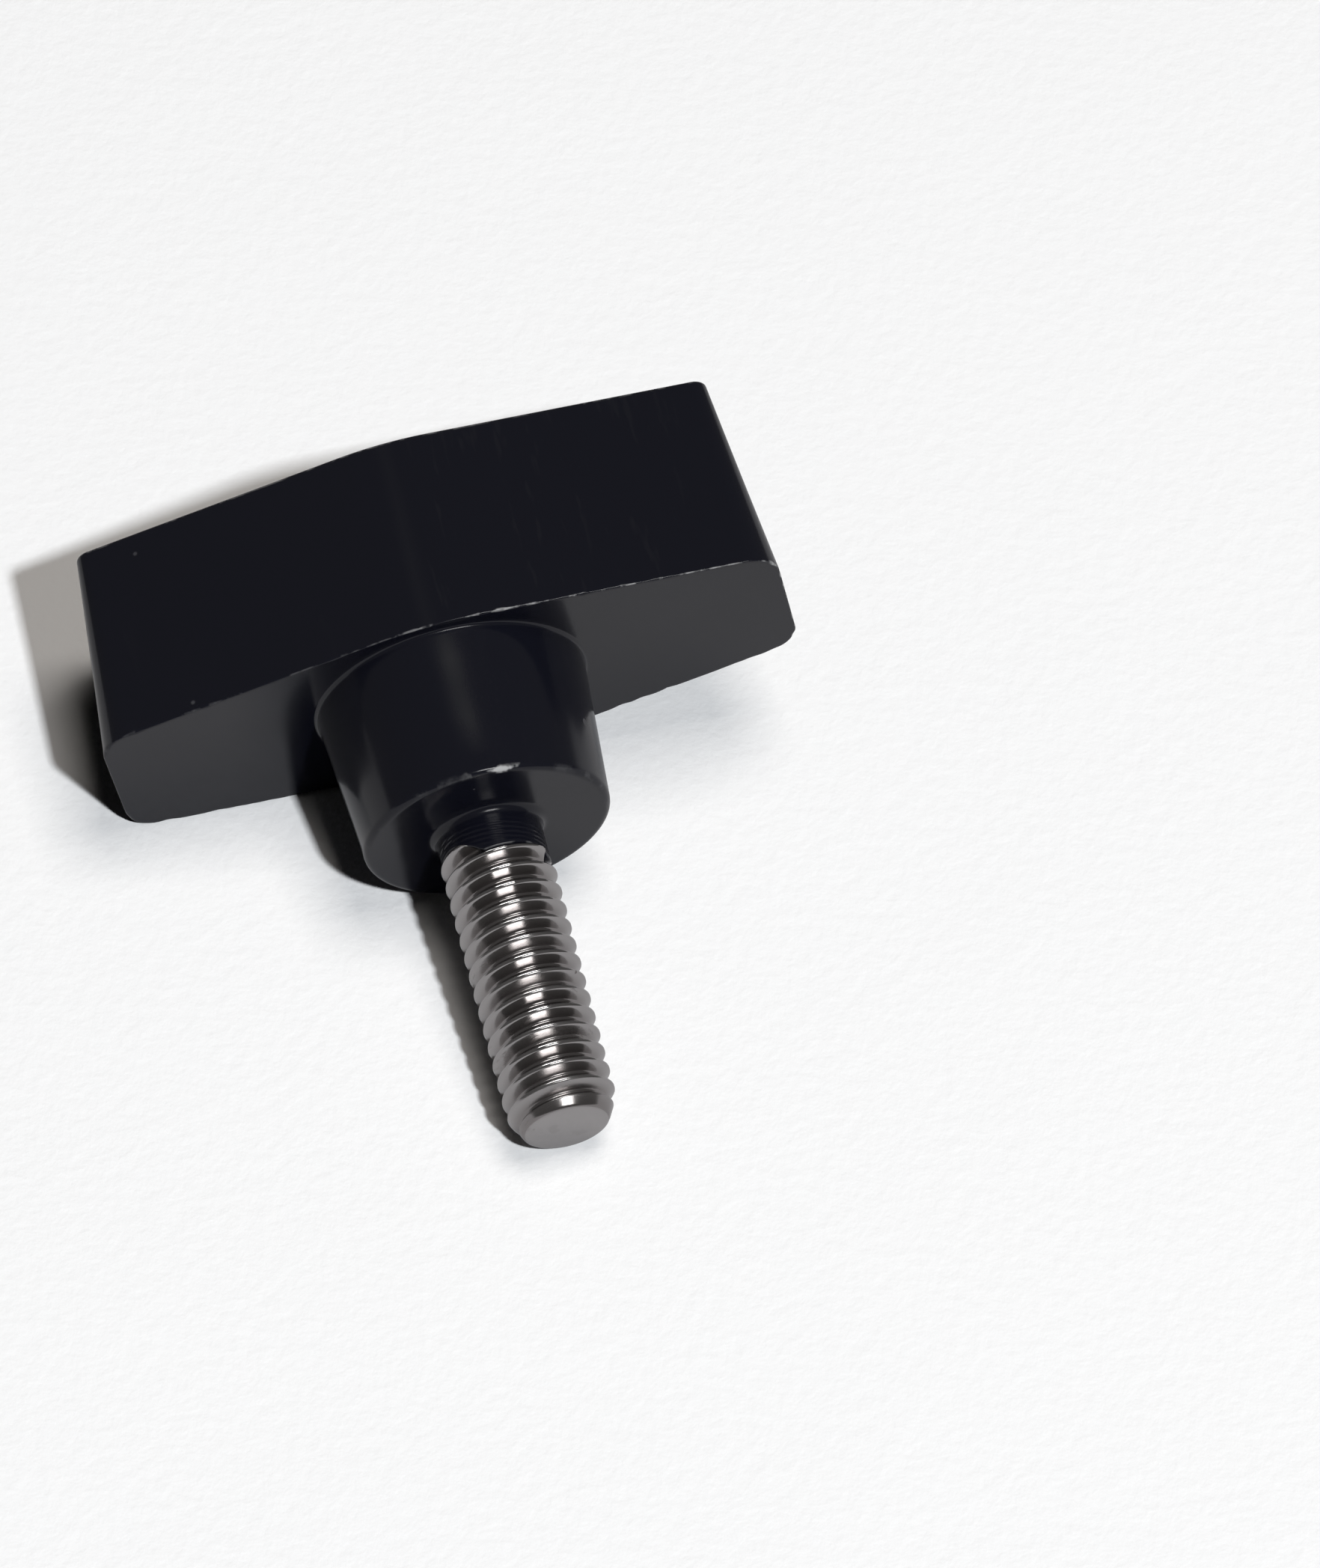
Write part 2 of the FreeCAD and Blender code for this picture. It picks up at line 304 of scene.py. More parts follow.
@dataclass(frozen=True)
class MouldedBlack:
    """Glossy black moulded plastic with a cool cast, light scuffs, edge abrasion, painted highlights and
    sheen.
    """

    deep: Colour = (0.0040, 0.0043, 0.0078)
    # This lighter colour marks real scuffs, and also paints sheen on the boss streak and the handle's
    # mid ridge.
    scuffed: Colour = (0.020, 0.020, 0.0215)
    # This light colour marks edge abrasion, and also paints highlights on the lit parting edge and the
    # boss rim.
    worn_and_highlight: Colour = (0.42, 0.42, 0.42)
    dust: Colour = (0.05, 0.05, 0.055)
    roughness: float = 0.16
    gloss_span: tuple[float, float] = (-0.03, 0.05)
    rubbed_roughness: float = 0.3
    dust_roughness: float = 0.4
    ior: float = 1.5
    relief: float = Grade.MOULDED.value
    relief_depth: float = 0.0000018
    grain_scale: float = 2600.0
    grain_waves: float = 1.2
    scuff_stretch: tuple[float, float, float] = (1.0, 1.0, 0.12)
    scuff_scale: float = 1100.0
    scuff_cut: float = 0.6
    scuff_tone: float = 0.12
    scuff_depth: float = -0.5
    smear_scale: float = 500.0
    smear_from: tuple[float, float] = (0.3, 0.75)
    smear_to: tuple[float, float] = (0.25, 0.95)
    dust_scale: float = 700.0
    dust_share: float = 0.03
    dust_height: float = 1.5
    wear_and_highlight_scale: float = 620.0
    wear_and_highlight_cut: float = 0.5

    def dress(self, effects: Effects) -> bpy.types.Material:
        """Build the plastic.

        Args:
            effects: The shared node groups.

        Returns:
            The material.
        """
        blank = Blank.start("moulded_black")
        board, place = blank.board, blank.place
        edge, rub_and_sheen = blank.mark("edge_wear_and_highlight_mark"), blank.mark("rub_and_sheen_mark")
        values = {"Vector": place, "Scale": self.grain_scale, "Waves": self.grain_waves}
        grain = effects.place(board, "grain", values)
        along = board.stretch(place, self.scuff_stretch)
        values = {"Vector": along, "Scale": self.scuff_scale, "Cut": self.scuff_cut}
        scuffs = effects.place(board, "scuffs", values)
        streaks = board.noise(along, self.smear_scale, 1.0, 0.4)
        smears = board.remap(streaks, self.smear_from, self.smear_to)
        values = {"Vector": place, "Scale": self.dust_scale, "Share": self.dust_share}
        dust = effects.place(board, "dust", values)
        values = {"Vector": place, "Edge": edge, "Scale": self.wear_and_highlight_scale, "Cut": self.wear_and_highlight_cut}
        wear_and_highlight = effects.place(board, "wear_and_highlight", values)

        # Streak and ridge: rougher from rubbing, and painted lighter as sheen where the lamp's
        # reflection falls.
        faint = board.math("MULTIPLY", rub_and_sheen, smears)
        scuffed = board.math("MULTIPLY", scuffs.outputs[0], self.scuff_tone)
        scuffs_and_sheen = board.math("MAXIMUM", scuffed, faint)
        tone = board.mix(scuffs_and_sheen, (*self.deep, 1.0), (*self.scuffed, 1.0))
        # Abraded edges and the painted edge highlights take the light colour.
        abraded_and_highlit = board.mix(wear_and_highlight.outputs[0], tone, (*self.worn_and_highlight, 1.0))
        blank.feed("Base Color", board.mix(dust.outputs[0], abraded_and_highlit, (*self.dust, 1.0)))

        low, high = self.gloss_span
        limits = (self.roughness + low, self.roughness + high)
        gloss = board.remap(grain.outputs["Tone"], (0.35, 0.7), limits)
        touched = board.math("MAXIMUM", scuffs_and_sheen, wear_and_highlight.outputs[0])
        rougher = board.math("MULTIPLY_ADD", touched, self.rubbed_roughness, gloss)
        dusty = board.math("MULTIPLY_ADD", dust.outputs[0], self.dust_roughness, rougher)
        blank.feed("Roughness", dusty)

        scored = board.math("MULTIPLY_ADD", scuffs.outputs[0], self.scuff_depth, grain.outputs["Height"])
        raised = board.math("MULTIPLY_ADD", dust.outputs[0], self.dust_height, scored)
        blank.relieve(self.relief, self.relief_depth, raised)
        blank.shader.inputs["IOR"].default_value = self.ior
        return blank.material


@dataclass(frozen=True)
class RolledSteel:
    """Stainless steel with a rolled thread: bright crests, darker warm roots as painted shade, fine
    rolling lines.
    """

    bright: Colour = (0.52, 0.505, 0.50)
    # The darker root colour is painted shade in the thread's grooves.
    root: Colour = (0.36, 0.34, 0.335)
    stain: Colour = (0.24, 0.22, 0.21)
    roughness: float = 0.14
    gloss_span: tuple[float, float] = (-0.05, 0.08)
    root_roughness: float = 0.06
    scuff_roughness: float = 0.12
    relief: float = Grade.ROLLED.value
    relief_depth: float = 0.000002
    lines_stretch: tuple[float, float, float] = (0.3, 0.3, 3.0)
    lines_scale: float = 2200.0
    lines_waves: float = 0.8
    scuff_scale: float = 1800.0
    scuff_cut: float = 0.6
    scuff_tone: float = 0.35
    scuff_depth: float = -0.4
    dust_scale: float = 900.0
    dust_share: float = 0.05

    def dress(self, effects: Effects) -> bpy.types.Material:
        """Build the steel.

        Args:
            effects: The shared node groups.

        Returns:
            The material.
        """
        blank = Blank.start("rolled_steel")
        board = blank.board
        depth = blank.mark("thread_depth")
        lines = board.stretch(blank.place, self.lines_stretch)
        values = {"Vector": lines, "Scale": self.lines_scale, "Waves": self.lines_waves}
        grain = effects.place(board, "grain", values)
        values = {"Vector": lines, "Scale": self.scuff_scale, "Cut": self.scuff_cut}
        scuffs = effects.place(board, "scuffs", values)
        values = {"Vector": blank.place, "Scale": self.dust_scale, "Share": self.dust_share}
        dust = effects.place(board, "dust", values)

        # Darker towards the roots: painted shade in the grooves.
        deeper = board.remap(depth, (0.1, 1.0))
        tone = board.mix(deeper, (*self.bright, 1.0), (*self.root, 1.0))
        dulled = board.math("MULTIPLY", scuffs.outputs[0], self.scuff_tone)
        stained = board.math("MAXIMUM", dulled, dust.outputs[0])
        blank.feed("Base Color", board.mix(stained, tone, (*self.stain, 1.0)))

        low, high = self.gloss_span
        limits = (self.roughness + low, self.roughness + high)
        gloss = board.remap(grain.outputs["Tone"], (0.3, 0.7), limits)
        rougher = board.math("MULTIPLY_ADD", deeper, self.root_roughness, gloss)
        scratched = board.math("MULTIPLY_ADD", scuffs.outputs[0], self.scuff_roughness, rougher)
        blank.feed("Roughness", scratched)

        height = board.math("MULTIPLY_ADD", scuffs.outputs[0], self.scuff_depth, grain.outputs["Height"])
        blank.relieve(self.relief, self.relief_depth, height)
        blank.shader.inputs["Metallic"].default_value = 1.0
        return blank.material


@dataclass(frozen=True)
class PaleTable:
    """Plain pale table with a faint plaster relief and painted shade in its reflections; from below it
    lets the camera through.
    """

    colour: Colour = (0.90, 0.90, 0.898)
    # Glossy rays see this darker colour: painted shade in the table's reflections.
    shaded_in_reflections: Colour = (0.43, 0.425, 0.43)
    roughness: float = 0.85
    specular: float = 0.1
    relief: float = Grade.SATIN.value
    relief_depth: float = 0.00023
    grain_scale: float = 900.0
    grain_waves: float = 1.5

    def dress(self, effects: Effects) -> bpy.types.Material:
        """Build the table's surface.

        Args:
            effects: The shared node groups.

        Returns:
            The material.
        """
        blank = Blank.start("pale_table")
        board, shader = blank.board, blank.shader
        values = {"Vector": blank.place, "Scale": self.grain_scale, "Waves": self.grain_waves}
        grain = effects.place(board, "grain", values)
        blank.relieve(self.relief, self.relief_depth, grain.outputs["Height"])
        rays = board.add("ShaderNodeLightPath")
        # Glossy rays get the darker colour: painted shade in reflections.
        tone = board.mix(rays.outputs["Is Glossy Ray"], (*self.colour, 1.0), (*self.shaded_in_reflections, 1.0))
        blank.feed("Base Color", tone)
        shader.inputs["Roughness"].default_value = self.roughness
        shader.inputs["Specular IOR Level"].default_value = self.specular

        clear = board.add("ShaderNodeBsdfTransparent")
        behind = board.add("ShaderNodeNewGeometry").outputs["Backfacing"]
        through = board.math("MULTIPLY", behind, rays.outputs["Is Camera Ray"])
        ends = {0: through, 1: shader.outputs[0], 2: clear.outputs[0]}
        board.link(board.add("ShaderNodeMixShader", ends).outputs[0], blank.result.inputs["Surface"])
        return blank.material


# ---------------------------------------------------------------- mesh helpers


def bell(value: np.ndarray, middle: float, width: float, power: int = 2) -> np.ndarray:
    """Give a bell curve: 1 in the middle, flatter on top for a higher power."""
    return np.exp(-(((value - middle) / width) ** power))


def bulge(step: float, steps: float) -> float:
    """Give half a sine wave over a number of steps: 0 at both ends, 1 half way."""
    return math.sin(math.pi * step / steps)


@dataclass
class Skin:
    """The moulding's skin: rings with one point for each point of the handle's outline.

    The vertices carry two marks: edge abrasion with painted edge highlight, and rubbing with painted
    sheen.
    """

    base: np.ndarray
    normals: np.ndarray
    ridge: np.ndarray
    streak: np.ndarray
    angles: np.ndarray
    rings: list[np.ndarray] = field(default_factory=list)
    marks: list[np.ndarray] = field(default_factory=list)
    rubs_and_sheen: list[np.ndarray] = field(default_factory=list)

    def ring(self, x: Level, y: Level, z: Level, mark: Level = 0.0, rub_and_sheen: Level = 0.0) -> None:
        """Add a ring of points.

        Args:
            x: The points' X, in millimetres.
            y: The points' Y.
            z: The points' Z, or one height for all.
            mark: How much edge abrasion and painted edge highlight each point has.
            rub_and_sheen: How much rubbing and painted sheen each point has.
        """
        shape = self.angles.shape
        self.rings.append(np.column_stack([x, y, np.broadcast_to(z, shape)]))
        self.marks.append(np.broadcast_to(mark, shape).astype(float))
        self.rubs_and_sheen.append(np.broadcast_to(rub_and_sheen, shape).astype(float))

    def round_handle(self, inward: Level, level: Level, mark: Level = 0.0) -> None:
        """Add a ring of the handle, this far inside its widest outline."""
        moved = self.base - self.normals * np.broadcast_to(inward, self.angles.shape)[:, None]
        self.ring(moved[:, 0], moved[:, 1], level, mark, self.ridge)

    def round_axis(self, radius: Level, level: Level, mark: Level = 0.0, rub_and_sheen: float = 0.0) -> None:
        """Add a ring of the boss or the collar."""
        x, y = radius * np.cos(self.angles), radius * np.sin(self.angles)
        self.ring(x, y, level, mark, rub_and_sheen * self.streak)

    def quads(self) -> Faces:
        """List the faces between neighbouring rings."""
        count = len(self.angles)
        faces = []
        for row in range(len(self.rings) - 1):
            faces += band(row * count, count)
        return faces


def band(begin: int, count: int) -> Faces:
    """List the faces between a closed ring, whose first point has this number, and the next."""
    after = begin + count
    turns = [(col, (col + 1) % count) for col in range(count)]
    return [(begin + one, begin + two, after + two, after + one) for one, two in turns]


def write_mesh(
    name: str, points: np.ndarray, faces: Faces, marks: dict[str, np.ndarray]
) -> bpy.types.Object:
    """Write a closed, smooth mesh.

    Args:
        name: The object's name.
        points: The vertices, in millimetres.
        faces: The faces, as vertex numbers.
        marks: The named values that each vertex carries for its finish.

    Returns:
        The new object, in metres.
    """
    mesh = bpy.data.meshes.new(name)
    mesh.from_pydata((points * MM).tolist(), [], faces)
    for label, values in marks.items():
        layer = mesh.attributes.new(label, "FLOAT", "POINT")
        layer.data.foreach_set("value", np.clip(values, 0.0, 1.0))
    work = bmesh.new()
    work.from_mesh(mesh)
    bmesh.ops.remove_doubles(work, verts=work.verts, dist=MERGE)
    bmesh.ops.dissolve_degenerate(work, edges=work.edges, dist=DEGENERATE)
    bmesh.ops.recalc_face_normals(work, faces=work.faces)
    for face in work.faces:
        face.smooth = True
    work.to_mesh(mesh)
    work.free()
    piece = bpy.data.objects.new(name, mesh)
    bpy.context.scene.collection.objects.link(piece)
    return piece


def round_corner(
    before: tuple[float, float],
    corner: tuple[float, float],
    after: tuple[float, float],
    radius: Level,
    steps: int,
) -> list[Pair]:
    """Round the corner of a profile.

    Args:
        before: A point on the side that leads to the corner.
        corner: The sharp corner.
        after: A point on the side that leaves it.
        radius: The radius of the round, or one for each column.
        steps: How many steps the round has.

    Returns:
        The round's points, from the first side to the second.
    """
    point = np.array(corner, float)
    back = np.array(before, float) - point
    ahead = np.array(after, float) - point
    back /= np.linalg.norm(back)
    ahead /= np.linalg.norm(ahead)
    half = math.acos(float(np.clip(back @ ahead, -1.0, 1.0))) / 2
    middle = (back + ahead) / np.linalg.norm(back + ahead)
    centre = middle / math.sin(half)
    start = back / math.tan(half) - centre
    stop = ahead / math.tan(half) - centre
    turn = math.atan2(start[0] * stop[1] - start[1] * stop[0], float(start @ stop))
    made = []
    for step in range(steps + 1):
        angle = turn * step / steps
        c, s = math.cos(angle), math.sin(angle)
        spoke = np.array([c * start[0] - s * start[1], s * start[0] + c * start[1]])
        reach = centre + spoke
        made.append((point[0] + reach[0] * radius, point[1] + reach[1] * radius))
    return made


# ---------------------------------------------------------------- the thread's form


@dataclass(frozen=True)
class ThreadForm:
    """The thread's sizes, which the stud and the plastic against its first crest share.

    The notch is the angle, in degrees, where the plastic's edge steps back from one crest to
    the one above it; the lip is where a tongue of plastic runs down over the first crest.
    """

    crest: float = 3.88
    root: float = 3.06
    pitch: float = 1.4111
    crest_flat: float = 0.2
    flank: float = 0.57735
    phase: float = 0.4922
    crest_round: float = 0.02
    root_round: float = 0.05
    notch: float = 262.0
    notch_turn: float = 48.0
    notch_crest: float = 3.5
    lift: float = 0.3
    lip: float = 0.8
    lip_middle: float = 95.0
    lip_width: float = 26.0

    def section(self, away: np.ndarray) -> np.ndarray:
        """Give the thread's radius at a distance from the middle of its groove, softly rolled."""
        mouth = (self.pitch - self.crest_flat) / 2
        wrapped = np.abs((away + self.pitch / 2) % self.pitch - self.pitch / 2)
        rise = self.crest + (wrapped - mouth) / self.flank
        hollow, crown = self.root_round, self.crest_round
        soft_root = hollow * np.logaddexp(rise / hollow, self.root / hollow)
        return -crown * np.logaddexp(-soft_root / crown, -self.crest / crown)

    def first_edge(self, angles: np.ndarray) -> np.ndarray:
        """Give the level where the plastic ends: it climbs with the first crest, then steps back."""
        start = self.phase + self.pitch * (self.notch / 360 - self.notch_crest) + self.lift
        turned = (np.degrees(angles) - self.notch) % 360
        back = np.clip((turned - 360 + self.notch_turn) / self.notch_turn, 0.0, 1.0)
        lip = self.lip * bell(turned, self.lip_middle, self.lip_width)
        return start + self.pitch * turned / 360 * (1 - back * back) - lip


# ---------------------------------------------------------------- the moulding


@dataclass
class MouldedKnob:
    """The moulded handle with its boss and collar, as one closed skin.

    Lengths are in millimetres and angles in degrees. A margin is how far the next ring stands
    off a round, so that the flat or straight stretch beside it keeps its shading.
    """

    form: ThreadForm
    length: float = 48.6
    mid_width: float = 21.5
    end_width: float = 13.2
    height: float = 15.7
    draft: float = 5.5
    end_radius: float = 2.6
    mid_radius: float = 21.0
    top_round: float = 0.3
    boss_height: float = 11.2
    boss_end: float = 8.75
    boss_root: float = 9.55
    boss_round: float = 0.5
    boss_fillet: float = 0.3
    collar: float = 3.7
    collar_fillet: float = 0.6
    collar_round: float = 0.12
    collar_waves: float = 0.018
    parting_round: float = 0.09
    parting_burr: float = 0.19
    sink: float = 0.035
    margin: float = 0.12
    seam_margin: float = 0.06
    wall_bow: float = 0.02
    underside_inset: float = 0.335
    top_mark: float = 0.35
    # The parting edge's light dashes are part abrasion, part painted highlight.
    parting_mark: float = 0.62
    rim_mark: float = 0.05
    # The boss rim's light patch is a painted highlight, placed where the lamp's reflection falls.
    rim_highlight_mark: float = 0.8
    collar_mark: float = 0.2
    # The handle's mid ridge and the boss streak are rougher from rubbing and painted lighter as sheen
    # where the lamp's reflection falls.
    ridge_rub_and_sheen: float = 0.2
    ridge_width: float = 0.5
    streak_angle: float = -85.0
    streak_width: float = 0.085
    # Where round the rim the painted highlight sits, and how wide it is.
    rim_highlight_angle: float = -76.5
    rim_highlight_width: float = 0.21
    recess_mouth: tuple[float, ...] = (3.5, 3.2, 2.9)
    recess_end: tuple[float, ...] = (2.5, 1.2, 0.05)
    recess_level: float = -1.2
    seed: int = 7
    knocks: int = 70
    side_steps: int = 56
    end_steps: int = 12
    mid_steps: int = 20
    corner_steps: int = 14
    round_steps: int = 6
    fillet_steps: int = 5
    rim_steps: int = 7
    collar_steps: int = 25
    edge_steps: int = 4

    @property
    def inset(self) -> float:
        """How far the draft draws the top of the handle in."""
        return self.height * math.tan(math.radians(self.draft))

    @property
    def top(self) -> float:
        """The level of the handle's top face."""
        return self.boss_height + self.height

    def outline(self) -> Pair:
        """Trace the rounded hexagon.

        Returns:
            Its points and their outward normals, both as rows of X and Y.
        """
        half, end, mid = self.length / 2, self.end_width / 2, self.mid_width / 2
        right, left = [(half, -end), (half, end)], [(-half, end), (-half, -end)]
        corners = np.array([*right, (0, mid), *left, (0, -mid)])
        radii = [self.end_radius, self.end_radius, self.mid_radius] * 2
        arcs = [self.corner_steps, self.corner_steps, self.mid_steps] * 2
        sides = [self.end_steps, self.side_steps, self.side_steps] * 2
        rows: list[list[Pair]] = []
        for number, corner in enumerate(corners):
            into = corner - corners[number - 1]
            away = corners[(number + 1) % 6] - corner
            into, away = into / np.linalg.norm(into), away / np.linalg.norm(away)
            first, last = (math.atan2(-d[0], d[1]) for d in (into, away))
            turn = (last - first + math.pi) % (2 * math.pi) - math.pi
            inward = (away - into) / np.linalg.norm(away - into)
            centre = corner + inward * radii[number] / math.cos(turn / 2)
            arc = []
            for step in range(arcs[number] + 1):
                angle = first + turn * step / arcs[number]
                normal = np.array([math.cos(angle), math.sin(angle)])
                arc.append((centre + normal * radii[number], normal))
            rows.append(arc)
        points, normals = [], []
        for number, arc in enumerate(rows):
            following = rows[(number + 1) % 6]
            points += [point for point, _ in arc]
            normals += [normal for _, normal in arc]
            start, stop = arc[-1][0], following[0][0]
            for step in range(1, sides[number]):
                points.append(start + (stop - start) * step / sides[number])
                normals.append(arc[-1][1])
        return np.array(points), np.array(normals)

    def parting_radii(self, points: np.ndarray) -> np.ndarray:
        """Vary the parting edge's radius along the handle, as flash and rubbing leave it.

        Args:
            points: The outline's points.

        Returns:
            One radius for each point.
        """
        rng = np.random.default_rng(self.seed)
        lift = np.zeros(len(points))
        for _ in range(self.knocks):
            place = points[rng.integers(len(points))] + rng.normal(0, 0.4, 2)
            size = rng.uniform(0.25, 0.7)
            away = np.linalg.norm(points - place, axis=1)
            lift = np.maximum(lift, rng.uniform(0.2, 1.0) * bell(away, 0.0, size))
        return self.parting_round + self.parting_burr * lift

    def skin(self) -> Skin:
        """Loft the whole moulding.

        Returns:
            The rings from the middle of the top face to the middle of the recess in the collar.
        """
        base, normals = self.outline()
        angles = np.arctan2(base[:, 1], base[:, 0])
        ridge = self.ridge_rub_and_sheen * bell(base[:, 0], 0.0, self.ridge_width)
        streak = bell(angles, math.radians(self.streak_angle), self.streak_width)
        skin = Skin(base, normals, ridge, streak, angles)
        self._loft_handle(skin)
        self._loft_boss(skin)
        self._loft_collar(skin)
        return skin

    def _loft_handle(self, skin: Skin) -> None:
        """Loft the top face, the drafted walls, the parting edge and the underside."""
        bottom, top, inset, steps = self.boss_height, self.top, self.inset, self.round_steps
        rim = skin.base - skin.normals * (inset + self.top_round + self.margin)
        for share in (0.02, 0.15, 0.35, 0.55, 0.75, 0.9, 0.97):
            sunk = self.sink * (1 - share**2) ** 2
            skin.ring(rim[:, 0] * share, rim[:, 1] * share, top - sunk)
        skin.ring(rim[:, 0], rim[:, 1], top)
        above = round_corner((inset + 1, top), (inset, top), (0, bottom), self.top_round, steps)
        for step, (inward, level) in enumerate(above):
            skin.round_handle(inward, level, self.top_mark * bulge(step, steps))

        radii = self.parting_radii(skin.base)
        below = round_corner((inset, top), (0, bottom), (1, bottom), radii, steps)
        (high_in, high), (low_in, low) = above[-1], below[0]
        for share in (0.012, *np.linspace(0.05, 0.95, 11), 0.99):
            inward = high_in + (low_in - high_in) * share + self.wall_bow * bulge(share, 1.0)
            skin.round_handle(inward, high + (low - high) * share)
        # The parting edge's light dashes are part abrasion, part painted highlight: stronger towards +X,
        # where the lamp's highlight falls.
        highlit_side = 0.15 + 0.85 / (1 + np.exp(-(skin.base[:, 0] + 1.0) / 1.5))
        for step, (inward, level) in enumerate(below):
            skin.round_handle(inward, level, self.parting_mark * bulge(step, steps) * highlit_side)

        start = skin.base - skin.normals * self.underside_inset
        foot = self.boss_root + self.boss_fillet + self.seam_margin
        for share in (0.0, 0.08, 0.3, 0.5, 0.7, 0.92, 1.0):
            x = start[:, 0] + (foot * np.cos(skin.angles) - start[:, 0]) * share
            y = start[:, 1] + (foot * np.sin(skin.angles) - start[:, 1]) * share
            skin.ring(x, y, bottom)

    def _loft_boss(self, skin: Skin) -> None:
        """Loft the tapered boss with its streak of rubbing and painted sheen, its rim with a painted
        highlight and its flat end.
        """
        bottom = self.boss_height
        foot = self.boss_root + self.boss_fillet + self.seam_margin
        cone = ((self.boss_root, bottom), (self.boss_end, 0.0))
        for r, z in round_corner((foot, bottom), *cone, self.boss_fillet, self.fillet_steps):
            skin.round_axis(float(r), float(z))
        # Down the boss the streak is rougher from rubbing and painted lighter as sheen, on the side
        # where the lamp's reflection falls.
        rubs_and_sheen = {0.04: 0.5, 0.2: 1.0, 0.4: 0.8, 0.6: 0.9, 0.75: 0.4, 0.88: 0.0, 0.945: 0.0}
        for share, rub_and_sheen in rubs_and_sheen.items():
            r = self.boss_root + (self.boss_end - self.boss_root) * share
            skin.round_axis(r, bottom * (1 - share), rub_and_sheen=rub_and_sheen)
        # A light patch on the rim is a painted highlight where the lamp's reflection falls; the rest of
        # the rim has a little abrasion.
        rim_highlight = bell(skin.angles, math.radians(self.rim_highlight_angle), self.rim_highlight_width, 4)
        strength = self.rim_mark + self.rim_highlight_mark * rim_highlight
        rounded = round_corner(*cone, (0, 0), self.boss_round, self.rim_steps)
        for step, (r, z) in enumerate(rounded):
            skin.round_axis(float(r), float(z), strength * bulge(step, self.rim_steps))
        outer = self.boss_end - self.boss_round - self.margin
        inner = self.collar + self.collar_fillet
        for share in (0.0, 0.25, 0.5, 0.75, 0.97):
            skin.round_axis(outer + (inner - outer) * share, 0.0)

    def _loft_collar(self, skin: Skin) -> None:
        """Loft the collar down to the thread's first crest, and the recess for the stud's stub."""
        outer = self.boss_end - self.boss_round - self.margin
        corner = ((outer, 0.0), (self.collar, 0.0), (self.collar, -1.0))
        for r, z in round_corner(*corner, self.collar_fillet, self.round_steps):
            skin.round_axis(float(r), float(z))
        ends = self.form.first_edge(skin.angles)
        begin = -self.collar_fillet - self.seam_margin
        fall = ends + self.collar_round + 0.04 - begin
        for share in np.linspace(0.0, 1.0, self.collar_steps + 1):
            level = begin + fall * share
            wave = np.sin(17 * level + 5 * skin.angles)
            wave += 0.7 * np.sin(29 * level - 11 * skin.angles + 1)
            dent = self.collar_waves * bulge(share, 1.0) * (1 + wave)
            skin.round_axis(self.collar - dent, level)
        edge = ((self.collar, 1.0), (self.collar, 0.0), (0.0, 0.0))
        for step, (r, z) in enumerate(round_corner(*edge, self.collar_round, self.edge_steps)):
            mark = self.collar_mark * bulge(step, self.edge_steps)
            skin.round_axis(float(r), ends + float(z), mark)
        for radius in self.recess_mouth:
            skin.round_axis(radius, ends)
        for radius in self.recess_end:
            skin.round_axis(radius, self.recess_level)

    def build(self, finish: bpy.types.Material) -> bpy.types.Object:
        """Build the moulding.

        Args:
            finish: The plastic.

        Returns:
            The finished piece.
        """
        skin = self.skin()
        points = np.concatenate(skin.rings)
        marks = {"edge_wear_and_highlight_mark": np.concatenate(skin.marks), "rub_and_sheen_mark": np.concatenate(skin.rubs_and_sheen)}
        count = len(skin.angles)
        faces = skin.quads()
        faces.append(tuple(range(count)))
        faces.append(tuple(range(len(points) - count, len(points))))
        piece = write_mesh("moulded_knob", points, faces, marks)
        piece.data.materials.append(finish)
        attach(piece, "root")
        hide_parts("knob_body")
        return piece


# ---------------------------------------------------------------- the stud


